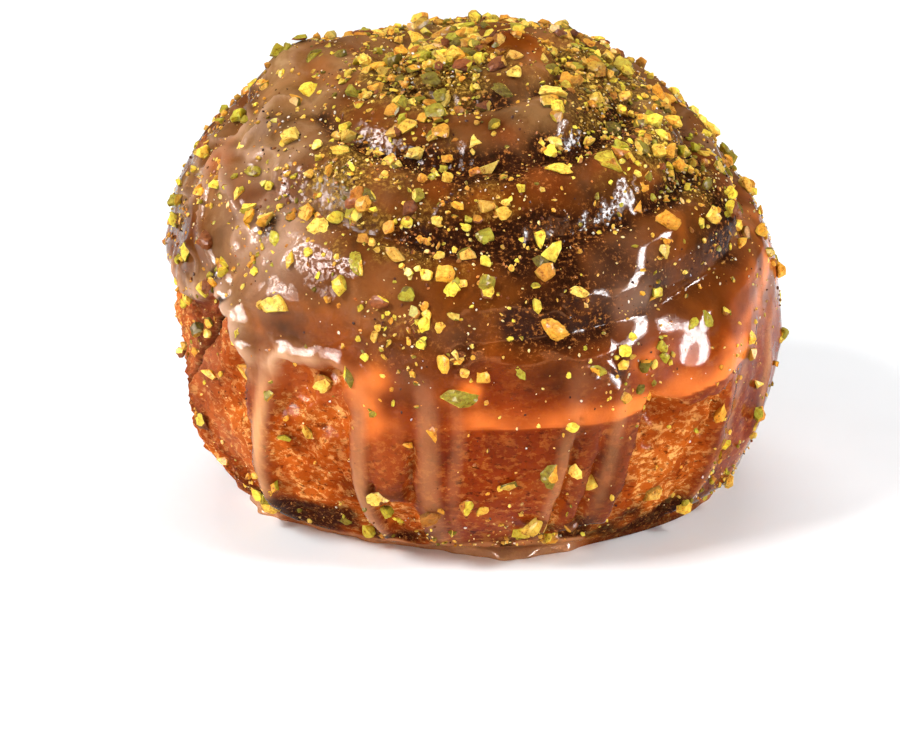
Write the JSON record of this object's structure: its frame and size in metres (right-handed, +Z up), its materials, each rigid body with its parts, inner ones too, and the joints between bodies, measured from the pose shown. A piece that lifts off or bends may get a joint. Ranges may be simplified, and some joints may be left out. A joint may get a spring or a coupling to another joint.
{
  "type": "cinnamon roll",
  "caption": "Tall coiled cinnamon bun with a domed top, glaze running down its wall into a small pool at the foot, and chopped pistachios stuck over it.",
  "frame": {"origin": "centre of the bounding box, on the flat underside that rests on the table", "axes": "+Z up; -Y to the front, where the coil leans and the glaze pools; +X to the right seen from the front"},
  "size_m": [0.1036, 0.1054, 0.0771],
  "materials": {
    "glazed_crust": "baked orange-brown crust under a thin wet glaze",
    "glaze": "milky translucent sugar glaze, wet and glossy",
    "pistachio": "chopped pistachio, yellow-green inside with brown and purple skins"
  },
  "bodies": {
    "root": {"cinnamon_roll": "glazed_crust"}
  },
  "joints": []
}
